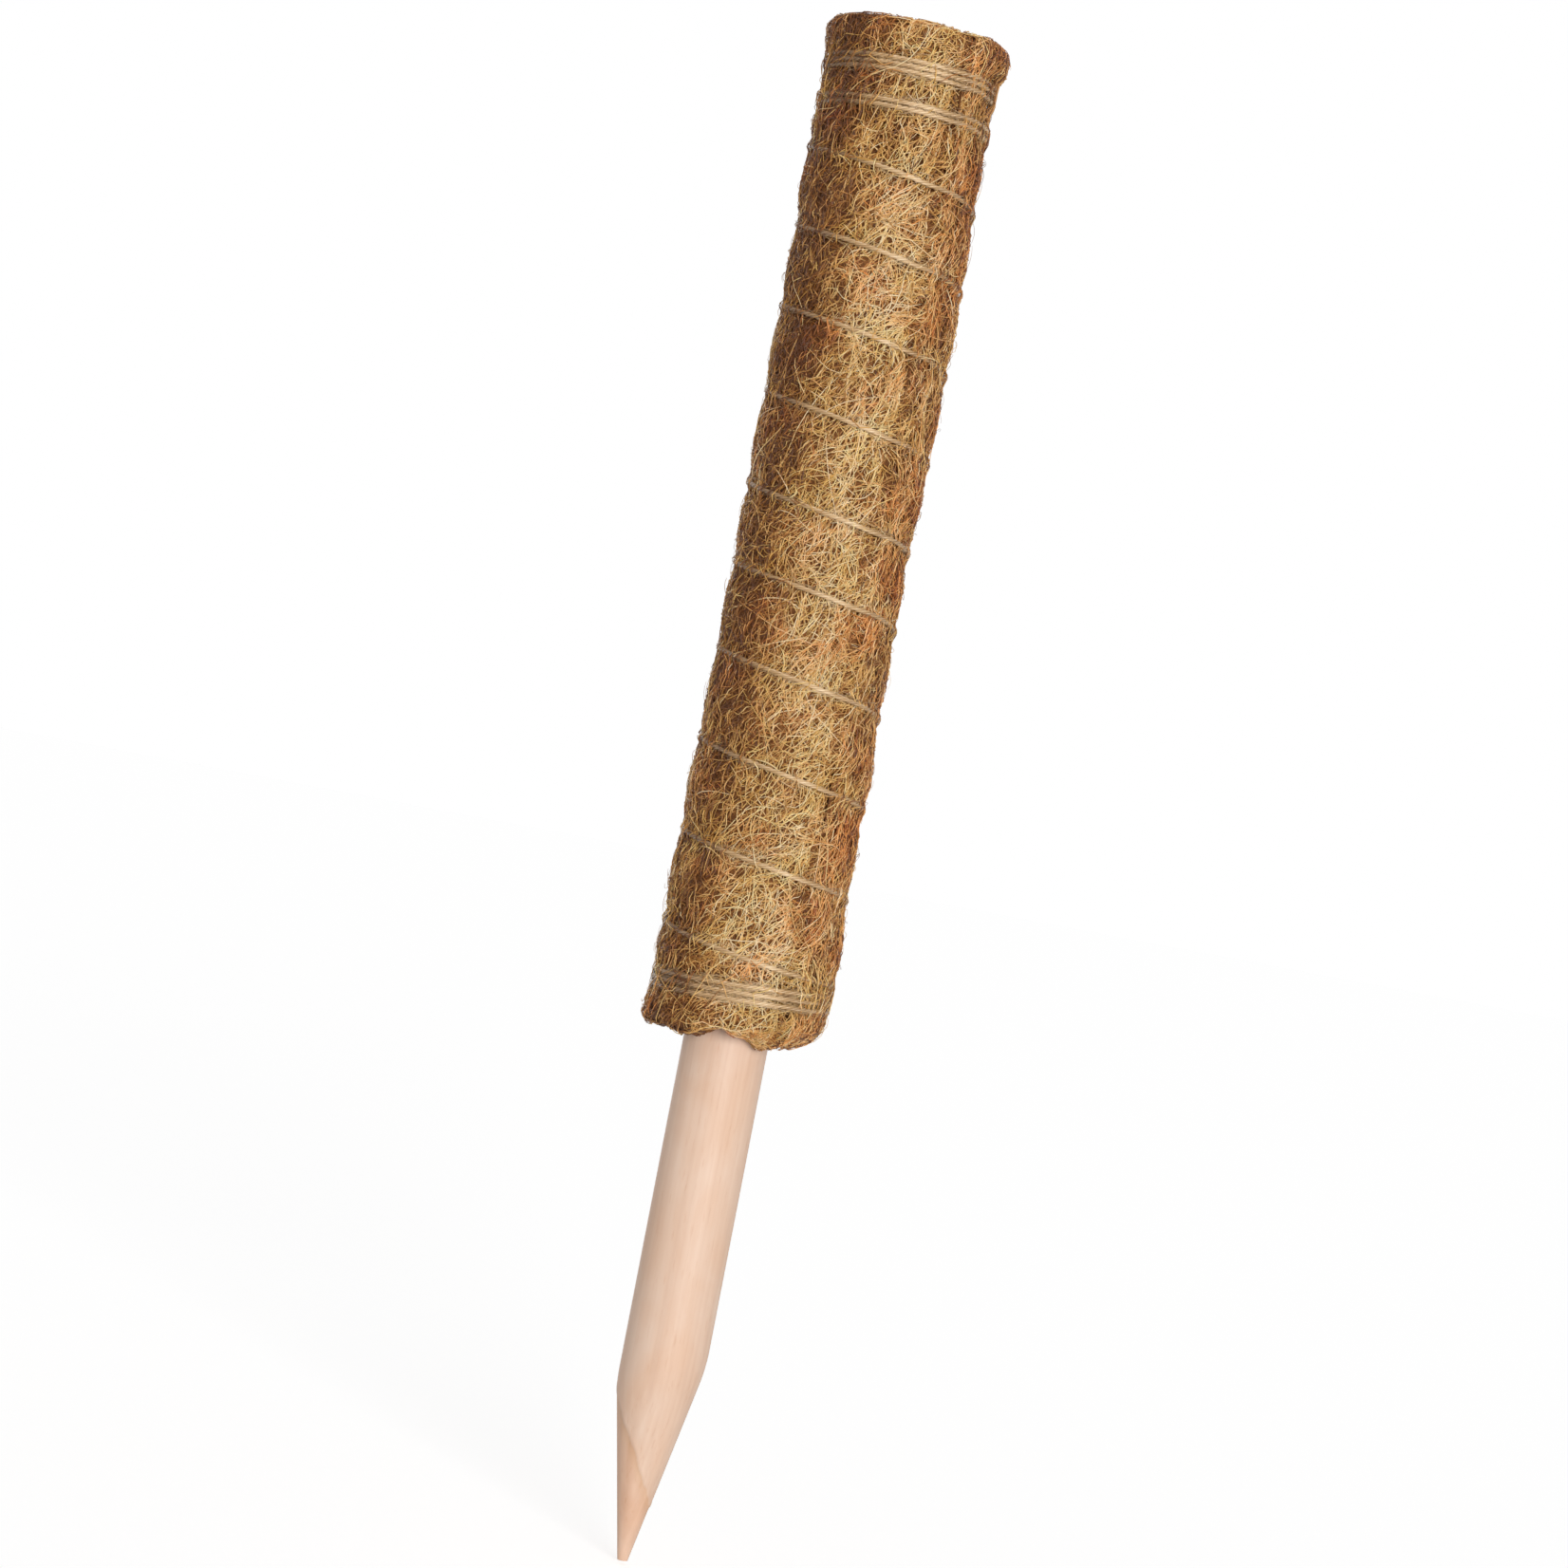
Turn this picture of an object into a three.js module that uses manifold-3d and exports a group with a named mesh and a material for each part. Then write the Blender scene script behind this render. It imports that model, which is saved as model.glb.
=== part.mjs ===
// Moss pole: a sharpened wooden stake, a coir mat rolled round it and stapled to it, and one long
// thread wound round the roll. Millimetres, +Z up, the front of the pole towards -Y.
// The origin is on the stake's axis at the soil line, where the roll's lower end rests.

import * as THREE from "three";
import { mergeVertices } from "three/addons/utils/BufferGeometryUtils.js";
import Module from "manifold-3d";

const wasm = await Module();
wasm.setup();

// Clearances
const SEAT_GAP = 0.3; // between two pieces that touch
const TURN_GAP = 0.4; // between two turns of the rolled mat

// Wooden stake
const STAKE_DIAMETER = 22;
const STAKE_BELOW_SOIL = 138; // from the roll's lower end to the tip
const POINT_LENGTH = 48.5;
const TIP_DIAMETER = 3;
const TIP_DRIFT = 0.8; // the point is cut this far to the left of the dowel's axis
const STAKE_TOP_RECESS = 3; // from the roll's upper end down to the stake's end
const STAKE_TOP_CHAMFER = 0.8;
const STAKE_SIDES = 48;

// Coir mat, rolled two turns and a feathered overlap
const ROLL_LENGTH = 262;
const ROLL_TURNS = 2;
const MAT_THICKNESS = 4.9;
const MAT_EDGE_THICKNESS = 1.9; // the mat is teased out to this at both lengthwise edges
const STEPS_PER_TURN = 24;
const FEATHER_STEPS = 6; // the steps over which an edge thins out
const CLIMB_STEPS = 2; // the steps in which a turn climbs over the inner edge
const SEAM_AZIMUTH = -48; // degrees, the outer edge of the mat, right of the front
const PINCH_DEPTH = 1.5; // how far the thread bites into the coir
const PINCH_REACH = 4; // how far along the roll a bite fades out
const LOWER_SPREAD = 1; // the roll's loose lower end is this much fuller
const LOWER_SPREAD_LENGTH = 90;
const RIM_FLARE = 0.6; // the cut ends spread past the whippings
const LAP_FLARE = 1.5; // the loose upper corner of the lap springs out this much more
const FLARE_REACH = 4; // from the outermost strand to where an end has spread in full
const RIM_ROUND = 2.4; // rounding of the two cut ends

// Binding thread, from the roll's upper end down, measured at the front of the pole
const THREAD_DIAMETER = 1;
const THREAD_SIDES = 6;
const WHIP_GAP = 0.45; // between the strands of the two upper whippings
const TOP_WHIP_TURNS = 3;
const TOP_WHIP_DROP = 10.5; // from the roll's upper end to the first strand
const SECOND_WHIP_TURNS = 2;
const SECOND_WHIP_DROP = 21.3;
const HELIX_DROP = 38.5; // from the roll's upper end to where the open helix starts
const HELIX_PITCH = 22.6;
const HELIX_RISE = 21.2; // from the roll's lower end to where the open helix stops
const HELIX_STRAY = [0, 2, 3.3, 3.2, 1.6, 4.1, 3.9, 2.6, 1.4]; // how far each hand-wound turn lies above even turns
const BOTTOM_WHIP_TURNS = 3;
const BOTTOM_WHIP_GAP = 0.85;
const BOTTOM_WHIP_RISE = 10.4; // from the roll's lower end to the last strand
const BOTTOM_WHIP_SLANT = 1; // this whipping lies so much higher at the right than at the front

// Overhand knots in the thread's two ends, at the back of the pole
const KNOT_GAP = 0.5; // between the strands inside a knot
const KNOT_CLEARANCE = 0.5; // between a knot and the nearest strand
const KNOT_STEPS = 30;

// Wire staples that hold the mat's inner edge to the stake
const STAPLE_COUNT = 5;
const STAPLE_CROWN = 11;
const STAPLE_LEG = 10;
const STAPLE_WIRE = 1;
const STAPLE_END_MARGIN = 22; // from each end of the roll to the nearest staple's middle
const STAPLE_EDGE_STEPS = 2; // from the mat's inner edge, in steps of the roll

const TURN = 2 * Math.PI;
const STEP = TURN / STEPS_PER_TURN;
const FRONT = -TURN / 4;
const SEAM = THREE.MathUtils.degToRad(SEAM_AZIMUTH);
const stakeRadius = STAKE_DIAMETER / 2;
const stakeTop = ROLL_LENGTH - STAKE_TOP_RECESS;
const threadRadius = THREAD_DIAMETER / 2;
const whipPitch = THREAD_DIAMETER + WHIP_GAP;
const bottomPitch = THREAD_DIAMETER + BOTTOM_WHIP_GAP;
const knotRadius = THREAD_DIAMETER + KNOT_GAP;
const knotReach = knotRadius * 1.5 + threadRadius;
const knotHeight = knotRadius * 0.5 + threadRadius;

// A closed surface that is put together from points, triangles and quads.
class Shell {
  points = [];
  faces = [];

  add(radius, azimuth, z) {
    this.points.push(radius * Math.cos(azimuth), radius * Math.sin(azimuth), z);
    return this.points.length / 3 - 1;
  }

  addPoint(p) {
    this.points.push(p.x, p.y, p.z);
    return this.points.length / 3 - 1;
  }

  tri(a, b, c) {
    this.faces.push(a, b, c);
  }

  quad(a, b, c, d) {
    this.faces.push(a, b, c, a, c, d);
  }

  // Triangles between a column of points and a straight edge beside it, both from the top down.
  fan(column, top, bottom) {
    const middle = Math.floor(column.length / 2);
    for (let i = 0; i + 1 < column.length; i++) {
      this.tri(column[i], column[i + 1], i < middle ? top : bottom);
    }
    this.tri(column[middle], bottom, top);
  }

  geometry() {
    const geometry = new THREE.BufferGeometry();
    geometry.setAttribute("position", new THREE.Float32BufferAttribute(this.points, 3));
    geometry.setIndex(this.faces);
    return geometry;
  }
}

function toSolid(geometry) {
  const bare = geometry.clone();
  bare.deleteAttribute("normal");
  bare.deleteAttribute("uv");
  const merged = mergeVertices(bare, 1e-4);
  return new wasm.Manifold(
    new wasm.Mesh({
      numProp: 3,
      vertProperties: new Float32Array(merged.attributes.position.array),
      triVerts: new Uint32Array(merged.index.array),
    }),
  );
}

function toGeometry(solid) {
  const mesh = solid.getMesh();
  const geometry = new THREE.BufferGeometry();
  geometry.setAttribute("position", new THREE.BufferAttribute(mesh.vertProperties, 3));
  geometry.setIndex(new THREE.BufferAttribute(mesh.triVerts, 1));
  return geometry;
}

function cut(geometry, tools) {
  let solid = toSolid(geometry);
  for (const tool of tools) {
    solid = solid.subtract(toSolid(tool));
  }
  return toGeometry(solid);
}

const ease = (x) => THREE.MathUtils.smoothstep(x, 0, 1);

const pole = new THREE.Group();
pole.name = "moss_pole";

function place(name, geometry, colour, roughness, metalness = 0) {
  geometry.computeVertexNormals();
  const material = new THREE.MeshStandardMaterial({ color: colour, roughness, metalness });
  const mesh = new THREE.Mesh(geometry, material);
  mesh.name = name;
  pole.add(mesh);
  return mesh;
}

// The roll. Places on the mat are counted in steps from its inner edge, which lies on the stake.

const rollSteps = ROLL_TURNS * STEPS_PER_TURN + FEATHER_STEPS;

const rollAzimuth = (step) => SEAM + (rollSteps - step) * STEP;

function matThickness(step) {
  const fromEdge = Math.min(step, rollSteps - step) / FEATHER_STEPS;
  return MAT_EDGE_THICKNESS + (MAT_THICKNESS - MAT_EDGE_THICKNESS) * ease(fromEdge);
}

function layerInside(step) {
  if (step >= STEPS_PER_TURN) {
    return layerOutside(step - STEPS_PER_TURN) + TURN_GAP;
  }
  const climb = ease((step - STEPS_PER_TURN + CLIMB_STEPS) / CLIMB_STEPS);
  return stakeRadius + SEAT_GAP + (MAT_EDGE_THICKNESS + TURN_GAP) * climb;
}

function layerOutside(step) {
  return layerInside(step) + matThickness(step);
}

// The thread's height at each pass across the front, and at any point between two passes.

const series = (count, first, pitch) => Array.from({ length: count }, (_, i) => first - i * pitch);

const helixTop = ROLL_LENGTH - HELIX_DROP;
const helixTurns = Math.max(1, Math.round((helixTop - HELIX_RISE) / HELIX_PITCH));
const passes = [
  ...series(TOP_WHIP_TURNS, ROLL_LENGTH - TOP_WHIP_DROP, whipPitch),
  ...series(SECOND_WHIP_TURNS, ROLL_LENGTH - SECOND_WHIP_DROP, whipPitch),
  ...series(helixTurns + 1, helixTop, (helixTop - HELIX_RISE) / helixTurns).map(
    (z, i) => z + (i < helixTurns ? (HELIX_STRAY[i] ?? 0) : 0),
  ),
  ...series(
    BOTTOM_WHIP_TURNS,
    BOTTOM_WHIP_RISE + (BOTTOM_WHIP_TURNS - 1) * bottomPitch,
    bottomPitch,
  ),
];
const lastPass = passes.length - 1;
const helixStart = TOP_WHIP_TURNS + SECOND_WHIP_TURNS;
const helixEnd = helixStart + helixTurns;

// Both ends leave their whipping for half a turn, far enough that a knot clears the next strand.
const endDrop = 2 * (knotReach + threadRadius + KNOT_CLEARANCE);

function passHeight(pass) {
  if (pass < 0) {
    return passes[0] - pass * endDrop;
  }
  if (pass > lastPass) {
    return passes[lastPass] - (pass - lastPass) * endDrop;
  }
  return passes[pass];
}

// The thread's slope across the front: a whipping keeps its even pitch, and the helix its steeper one.
function passSlope(pass) {
  const before = passHeight(pass) - passHeight(pass - 1);
  const after = passHeight(pass + 1) - passHeight(pass);
  return pass < helixStart || pass > helixEnd ? Math.max(before, after) : Math.min(before, after);
}

// A smooth line through the passes: turns are counted from the first pass across the front.
function threadHeight(turns) {
  const pass = Math.floor(turns);
  const x = turns - pass;
  const [here, next] = [passHeight(pass), passHeight(pass + 1)];
  const [slope, nextSlope] = [passSlope(pass), passSlope(pass + 1)];
  const bend = 3 * (next - here) - 2 * slope - nextSlope;
  const twist = 2 * (here - next) + slope + nextSlope;
  const slant = BOTTOM_WHIP_SLANT * ease(turns - helixEnd) * Math.sin(turns * TURN);
  return here + x * (slope + x * (bend + x * twist)) + slant;
}

// The outer turn of the roll, by the number of steps back from the seam.

function pinch(step, distance) {
  const bite = PINCH_DEPTH * Math.exp(-Math.abs(distance) / PINCH_REACH);
  return Math.min(bite, matThickness(step) / 2);
}

// The face spreads towards the lower end, but not under the edge that lies over it.
const freedom = (back) => Math.min(1, (STEPS_PER_TURN - back) / 3);

// Where the mat laps over its inner edge, easing out as the turn climbs down.
const lapShare = (back) => 1 - ease((back - FEATHER_STEPS) / CLIMB_STEPS);

function faceRadius(back, z) {
  const spread = LOWER_SPREAD * ease(1 - z / LOWER_SPREAD_LENGTH);
  return layerOutside(rollSteps - back) + spread * freedom(back);
}

// Past its outermost strand each cut end springs out, most at the lap's loose upper corner.
function endFlare(back, z) {
  const above = ease((z - passes[0]) / FLARE_REACH);
  const below = ease((passes[lastPass] - z) / FLARE_REACH);
  return above * LAP_FLARE * lapShare(back) + (above + below) * RIM_FLARE * freedom(back);
}

const grooveRadius = (back, z) => faceRadius(back, z) - pinch(rollSteps - back, 0);

const turnsAt = (pass, back) => pass + (SEAM - FRONT + back * STEP) / TURN;

function rowsBetween(upper, lower) {
  const drop = passHeight(upper) - passHeight(lower);
  if (drop < 2 * PINCH_REACH) {
    return drop < PINCH_REACH ? [] : [0.5];
  }
  return [0.15, 0.5, 0.85];
}

// One column of the roll's outer face, from the top rim down.
function outerColumn(shell, back) {
  const step = rollSteps - back;
  const azimuth = rollAzimuth(step);
  const round = Math.min(RIM_ROUND, matThickness(step) / 2);
  const column = [];
  const add = (radius, z) => column.push(shell.add(radius, azimuth, z));
  const strand = (pass) =>
    threadHeight(THREE.MathUtils.clamp(turnsAt(pass, back), -0.5, lastPass + 0.5));
  const rim = (end, nearest, share, inset) => {
    const z = end + (nearest - end) * share;
    add(faceRadius(back, z) + endFlare(back, z) - round * inset, z);
  };
  // Past the thread's two ends, beyond their knots, a row of the face has no strand to press it in.
  const bare = (pass) => {
    const past = Math.max(-turnsAt(pass, back), turnsAt(pass, back) - lastPass) - 0.5;
    return past * STEPS_PER_TURN > 2;
  };

  rim(ROLL_LENGTH, strand(-1), 0, 1);
  rim(ROLL_LENGTH, strand(-1), 0.12, 0.3);
  rim(ROLL_LENGTH, strand(-1), 0.4, 0);
  for (let pass = -1; pass <= lastPass; pass++) {
    const here = strand(pass);
    if (bare(pass)) {
      const nearest = strand(pass < 0 ? pass + 1 : pass - 1);
      const bite = pinch(step, Math.abs(here - nearest));
      add(faceRadius(back, here) + endFlare(back, here) - bite, here);
    } else {
      add(grooveRadius(back, here), here);
    }
    if (pass < lastPass) {
      const next = strand(pass + 1);
      for (const share of rowsBetween(pass, pass + 1)) {
        const z = here + (next - here) * share;
        add(faceRadius(back, z) - pinch(step, Math.min(here - z, z - next)), z);
      }
    }
  }
  rim(0, strand(lastPass), 0.4, 0);
  rim(0, strand(lastPass), 0.12, 0.3);
  rim(0, strand(lastPass), 0, 1);
  return column;
}

function buildMat() {
  const shell = new Shell();
  const outer = [];
  const inner = [];
  for (let back = 0; back <= rollSteps; back++) {
    const step = rollSteps - back;
    const azimuth = rollAzimuth(step);
    const edge = (radius) => [ROLL_LENGTH, 0].map((z) => shell.add(radius, azimuth, z));
    outer.push(back <= STEPS_PER_TURN ? outerColumn(shell, back) : edge(layerOutside(step)));
    inner.push(edge(layerInside(step)));
  }
  for (let j = 0; j < rollSteps; j++) {
    const [here, next] = [outer[j], outer[j + 1]];
    const [hereIn, nextIn] = [inner[j], inner[j + 1]];
    if (here.length === next.length) {
      for (let i = 0; i + 1 < here.length; i++) {
        shell.quad(here[i], here[i + 1], next[i + 1], next[i]);
      }
    } else {
      shell.fan(here, next[0], next[1]);
    }
    shell.quad(hereIn[0], nextIn[0], nextIn[1], hereIn[1]);
    shell.quad(hereIn[0], here[0], next[0], nextIn[0]);
    shell.quad(here.at(-1), hereIn[1], nextIn[1], next.at(-1));
  }
  shell.fan([...outer[0]].reverse(), inner[0][1], inner[0][0]);
  const [start, startIn] = [outer[rollSteps], inner[rollSteps]];
  shell.quad(start[0], start[1], startIn[1], startIn[0]);
  return shell.geometry();
}

// The thread: one tube from the upper knot round the roll to the lower knot, in the coir's grooves.

function threadLine() {
  const line = [];
  const stepsFromFront = Math.round((SEAM - FRONT) / STEP);
  const first = -STEPS_PER_TURN / 2;
  const last = lastPass * STEPS_PER_TURN + STEPS_PER_TURN / 2;
  for (let i = first; i <= last; i++) {
    const back = THREE.MathUtils.euclideanModulo(i - stepsFromFront, STEPS_PER_TURN);
    const turns = turnsAt(0, back) + Math.round((i - stepsFromFront - back) / STEPS_PER_TURN);
    const z = threadHeight(turns);
    const radius = grooveRadius(back, z) + SEAT_GAP + threadRadius;
    const azimuth = SEAM + back * STEP;
    line.push(new THREE.Vector3(radius * Math.cos(azimuth), radius * Math.sin(azimuth), z));
  }
  const straight = (end, before) =>
    end.clone().add(end.clone().sub(before).setLength(THREAD_DIAMETER));
  line.unshift(straight(line[0], line[1]));
  line.push(straight(line.at(-1), line.at(-2)));
  return line;
}

function sweep(line, radius, sides) {
  const shell = new Shell();
  const rings = line.map((point, i) => {
    const ahead = line[Math.min(i + 1, line.length - 1)];
    const behind = line[Math.max(i - 1, 0)];
    const along = ahead.clone().sub(behind).normalize();
    const outward = new THREE.Vector3(point.x, point.y, 0).normalize();
    const across = outward.clone().cross(along).normalize();
    outward.crossVectors(along, across);
    return Array.from({ length: sides }, (_, k) => {
      const angle = (k / sides) * TURN;
      const spoke = outward.clone().multiplyScalar(radius * Math.cos(angle));
      spoke.addScaledVector(across, radius * Math.sin(angle));
      return shell.addPoint(spoke.add(point));
    });
  });
  for (let i = 0; i + 1 < rings.length; i++) {
    for (let k = 0; k < sides; k++) {
      const m = (k + 1) % sides;
      shell.quad(rings[i][k], rings[i + 1][k], rings[i + 1][m], rings[i][m]);
    }
  }
  for (const [ring, turned] of [
    [rings[0], false],
    [rings.at(-1), true],
  ]) {
    for (let k = 1; k + 1 < sides; k++) {
      const [a, b] = turned ? [k + 1, k] : [k, k + 1];
      shell.tri(ring[0], ring[a], ring[b]);
    }
  }
  return shell.geometry();
}

function leastGap(line, diameter) {
  let least = Infinity;
  for (let i = 0; i < line.length; i++) {
    for (let j = i + STEPS_PER_TURN / 2; j < line.length; j++) {
      least = Math.min(least, line[i].distanceTo(line[j]) - diameter);
    }
  }
  return least;
}

// Overhand knots, flat against the roll, each just past an end of the thread.

function knotFrame(end, before) {
  const along = end.clone().sub(before).normalize();
  const centre = end.clone().addScaledVector(along, SEAT_GAP + knotReach);
  const outward = new THREE.Vector3(centre.x, centre.y, 0).normalize();
  const across = outward.clone().cross(along).normalize();
  const forward = across.clone().cross(outward);
  return new THREE.Matrix4().makeBasis(forward, across, outward).setPosition(centre);
}

function buildKnot(frame) {
  const knot = new THREE.TorusKnotGeometry(knotRadius, threadRadius, KNOT_STEPS, THREAD_SIDES);
  return knot.applyMatrix4(frame);
}

// The dent that a knot presses into the coir, open to the outside.
function buildDent(frame) {
  const depth = knotHeight + SEAT_GAP;
  const height = depth + MAT_THICKNESS;
  const dent = new THREE.CylinderGeometry(knotReach + SEAT_GAP, knotReach + SEAT_GAP, height, 16);
  dent.rotateX(TURN / 4);
  dent.translate(0, 0, height / 2 - depth);
  return dent.applyMatrix4(frame);
}

// Staples: a crown along the roll and two legs through the mat's thin inner edge into the stake.

const stapleAzimuth = rollAzimuth(STAPLE_EDGE_STEPS);
const crownInside = layerOutside(STAPLE_EDGE_STEPS) + SEAT_GAP;

function buildStaple(grow) {
  const out = crownInside + STAPLE_WIRE + grow;
  const under = crownInside - grow;
  const half = STAPLE_CROWN / 2 + grow;
  const inner = STAPLE_CROWN / 2 - STAPLE_WIRE - grow;
  const tip = crownInside + STAPLE_WIRE - STAPLE_LEG - grow;
  const bevel = STAPLE_WIRE + 2 * grow;
  const outline = new THREE.Shape();
  outline.moveTo(out, -half);
  outline.lineTo(out, half);
  outline.lineTo(tip, half);
  outline.lineTo(tip + bevel, inner);
  outline.lineTo(under, inner);
  outline.lineTo(under, -inner);
  outline.lineTo(tip + bevel, -inner);
  outline.lineTo(tip, -half);
  outline.closePath();
  const width = STAPLE_WIRE + 2 * grow;
  const staple = new THREE.ExtrudeGeometry(outline, { depth: width, bevelEnabled: false });
  staple.translate(0, 0, -width / 2);
  staple.rotateX(TURN / 4);
  return staple.rotateZ(stapleAzimuth);
}

const stapleHeights = Array.from(
  { length: STAPLE_COUNT },
  (_, i) =>
    STAPLE_END_MARGIN + (i * (ROLL_LENGTH - 2 * STAPLE_END_MARGIN)) / (STAPLE_COUNT - 1),
);

// The stake: a dowel with a chamfered end, cut to a long point by a cone beside its axis.
function buildStake() {
  const tip = -STAKE_BELOW_SOIL;
  const tipRadius = TIP_DIAMETER / 2;
  const reach = stakeRadius + 2 * TIP_DRIFT;
  const flank = POINT_LENGTH / (stakeRadius - tipRadius);
  const lathe = (profile) => {
    const outline = profile.map(([r, z]) => new THREE.Vector2(r, z));
    return new THREE.LatheGeometry(outline, STAKE_SIDES).rotateX(TURN / 4);
  };
  const dowel = lathe([
    [0, tip - stakeRadius],
    [stakeRadius, tip - stakeRadius],
    [stakeRadius, stakeTop - STAKE_TOP_CHAMFER],
    [stakeRadius - STAKE_TOP_CHAMFER, stakeTop],
    [0, stakeTop],
  ]);
  const cutter = lathe([
    [0, tip],
    [tipRadius, tip],
    [reach, tip + (reach - tipRadius) * flank],
    [reach, stakeTop + reach],
    [0, stakeTop + reach],
  ]);
  cutter.translate(-TIP_DRIFT, 0, 0);
  return toGeometry(toSolid(dowel).intersect(toSolid(cutter)));
}

// The pieces

const line = threadLine();
const upperKnot = knotFrame(line[0], line[1]);
const lowerKnot = knotFrame(line.at(-1), line.at(-2));
const stapleCuts = stapleHeights.map((z) => buildStaple(SEAT_GAP).translate(0, 0, z));

place("wooden_stake", cut(buildStake(), stapleCuts), 0xe6c4a6, 0.75);
place(
  "coir_mat",
  cut(buildMat(), [...stapleCuts, buildDent(upperKnot), buildDent(lowerKnot)]),
  0xa9814f,
  0.95,
);
place("binding_thread", sweep(line, threadRadius, THREAD_SIDES), 0xd9c7a0, 0.5);
place("upper_knot", buildKnot(upperKnot), 0xd9c7a0, 0.5);
place("lower_knot", buildKnot(lowerKnot), 0xd9c7a0, 0.5);
stapleHeights.forEach((z, i) => {
  const staple = place(`mat_staple_${i + 1}`, buildStaple(0), 0x9a9da0, 0.4, 0.9);
  staple.position.z = z;
});

const gap = leastGap(line, THREAD_DIAMETER).toFixed(2);
console.log(`thread: ${passes.length} turns, least gap to itself ${gap} mm`);

export default pole;
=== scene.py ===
# Moss pole: a sharpened wooden stake in a roll of coir matting that one long twine binds on.
import math

import bmesh
import bpy
import numpy as np
from mathutils import Matrix, Vector


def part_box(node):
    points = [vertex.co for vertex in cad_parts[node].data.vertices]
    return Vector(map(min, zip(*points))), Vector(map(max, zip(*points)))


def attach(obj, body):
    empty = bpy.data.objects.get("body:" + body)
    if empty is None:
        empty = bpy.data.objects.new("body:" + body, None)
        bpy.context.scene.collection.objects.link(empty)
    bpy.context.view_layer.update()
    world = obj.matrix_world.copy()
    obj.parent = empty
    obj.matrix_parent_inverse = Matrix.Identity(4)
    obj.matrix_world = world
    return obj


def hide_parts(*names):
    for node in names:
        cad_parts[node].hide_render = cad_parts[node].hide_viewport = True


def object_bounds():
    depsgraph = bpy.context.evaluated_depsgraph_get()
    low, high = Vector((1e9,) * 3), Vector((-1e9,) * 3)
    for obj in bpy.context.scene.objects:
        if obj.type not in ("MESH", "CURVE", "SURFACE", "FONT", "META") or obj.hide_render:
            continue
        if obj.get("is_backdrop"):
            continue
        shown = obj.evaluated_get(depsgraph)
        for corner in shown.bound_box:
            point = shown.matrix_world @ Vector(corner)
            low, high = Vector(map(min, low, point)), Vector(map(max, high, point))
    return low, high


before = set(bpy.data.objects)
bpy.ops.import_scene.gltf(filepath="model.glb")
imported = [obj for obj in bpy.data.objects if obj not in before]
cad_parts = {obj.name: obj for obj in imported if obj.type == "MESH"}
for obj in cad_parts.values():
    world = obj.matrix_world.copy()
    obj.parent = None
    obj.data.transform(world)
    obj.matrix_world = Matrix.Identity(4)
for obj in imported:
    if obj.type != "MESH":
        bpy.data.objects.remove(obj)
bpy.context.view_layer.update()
scene = bpy.context.scene
scene.view_settings.view_transform = "Standard"

# Camera
# A long lens, level with the middle of the pole and straight in front of it.
# It is rolled a little to the left, so the pole leans to the right in the picture.
camera = bpy.data.objects.new("camera", bpy.data.cameras.new("camera"))
camera.data.sensor_width = 36
camera.data.lens = 89.13
camera.location = (0.00243, -1.0, 0.0661)
camera.rotation_euler = (math.radians(90), math.radians(-10.6), 0)
scene.collection.objects.link(camera)
scene.camera = camera

# Wooden stake
# A planed dowel of pale straight-grained wood that runs up through the whole roll.
# Its lower end is sharpened like a pencil, and the cutter leaves a slanting step round the point.
stake_low, stake_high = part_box("wooden_stake")
stake_radius, stake_top, tip_z = stake_high[0], stake_high[2], stake_low[2]
top_chamfer = 0.0008
point_length = 0.0485
tip_radius = 0.0015
tip_drift = -0.0008  # the point stands this far along X from the dowel's axis
shoulder_soft = 0.0009  # how softly the point runs into the dowel
cut_height = 0.058  # from the tip to clear above the cut
step_height, step_slant = 0.0234, 1.95  # the cutter's step above the tip, and how steeply it slants
step_blur, step_depth = 0.0012, 0.00015
fresh_fade = 0.007  # the cut is freshest from this far below the step
lip_height, lip_width = 0.00012, 0.0007  # the burr along the step
lean, lean_from = 0.0063, 0.012  # the bare stake leans to the left, below this height
white = (1, 1, 1, 1)


def smooth(x):
    """An even S-shaped rise from 0 to 1."""
    x = np.clip(x, 0, 1)
    return x * x * (3 - 2 * x)


def swell(x, middle, width):
    """A soft swelling: 1 at its middle, and gone at about twice its width."""
    return np.exp(-(((x - middle) / width) ** 2))


def piece(name, mesh, material, stands_for=()):
    """A finished piece on the pole's one body, in place of the solids that it stands for."""
    made = bpy.data.objects.new(name, mesh)
    scene.collection.objects.link(made)
    mesh.materials.clear()
    mesh.materials.append(material)
    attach(made, "root")
    if stands_for:
        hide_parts(*stands_for)
    return made


def to_mesh(shape, name):
    made = bpy.data.meshes.new(name)
    shape.to_mesh(made)
    shape.free()
    return made


def shader(name, **settings):
    """A material, its node tree and its Principled BSDF with these plain settings."""
    made = bpy.data.materials.new(name)
    made.use_nodes = True
    bsdf = made.node_tree.nodes["Principled BSDF"]
    for socket, value in settings.items():
        bsdf.inputs[socket.replace("_", " ")].default_value = value
    return made, made.node_tree, bsdf


def node(tree, kind, **values):
    """A new node with these values on its inputs."""
    made = tree.nodes.new("ShaderNode" + kind)
    for socket, value in values.items():
        made.inputs[socket.replace("_", " ")].default_value = value
    return made


def colour(red, green, blue):
    """A colour that is given as it looks on a screen, from 0 to 255."""
    return *(((c / 255 + 0.055) / 1.055) ** 2.4 for c in (red, green, blue)), 1


def ramp(tree, value, *stops):
    """Colours for a value from 0 to 1, between stops of a place and a colour."""
    made = node(tree, "ValToRGB")
    points = made.color_ramp.elements
    while len(points) < len(stops):
        points.new(1)
    for point, (place, shade) in zip(points, stops):
        point.position, point.color = place, shade
    tree.links.new(value, made.inputs[0])
    return made.outputs[0]


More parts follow.
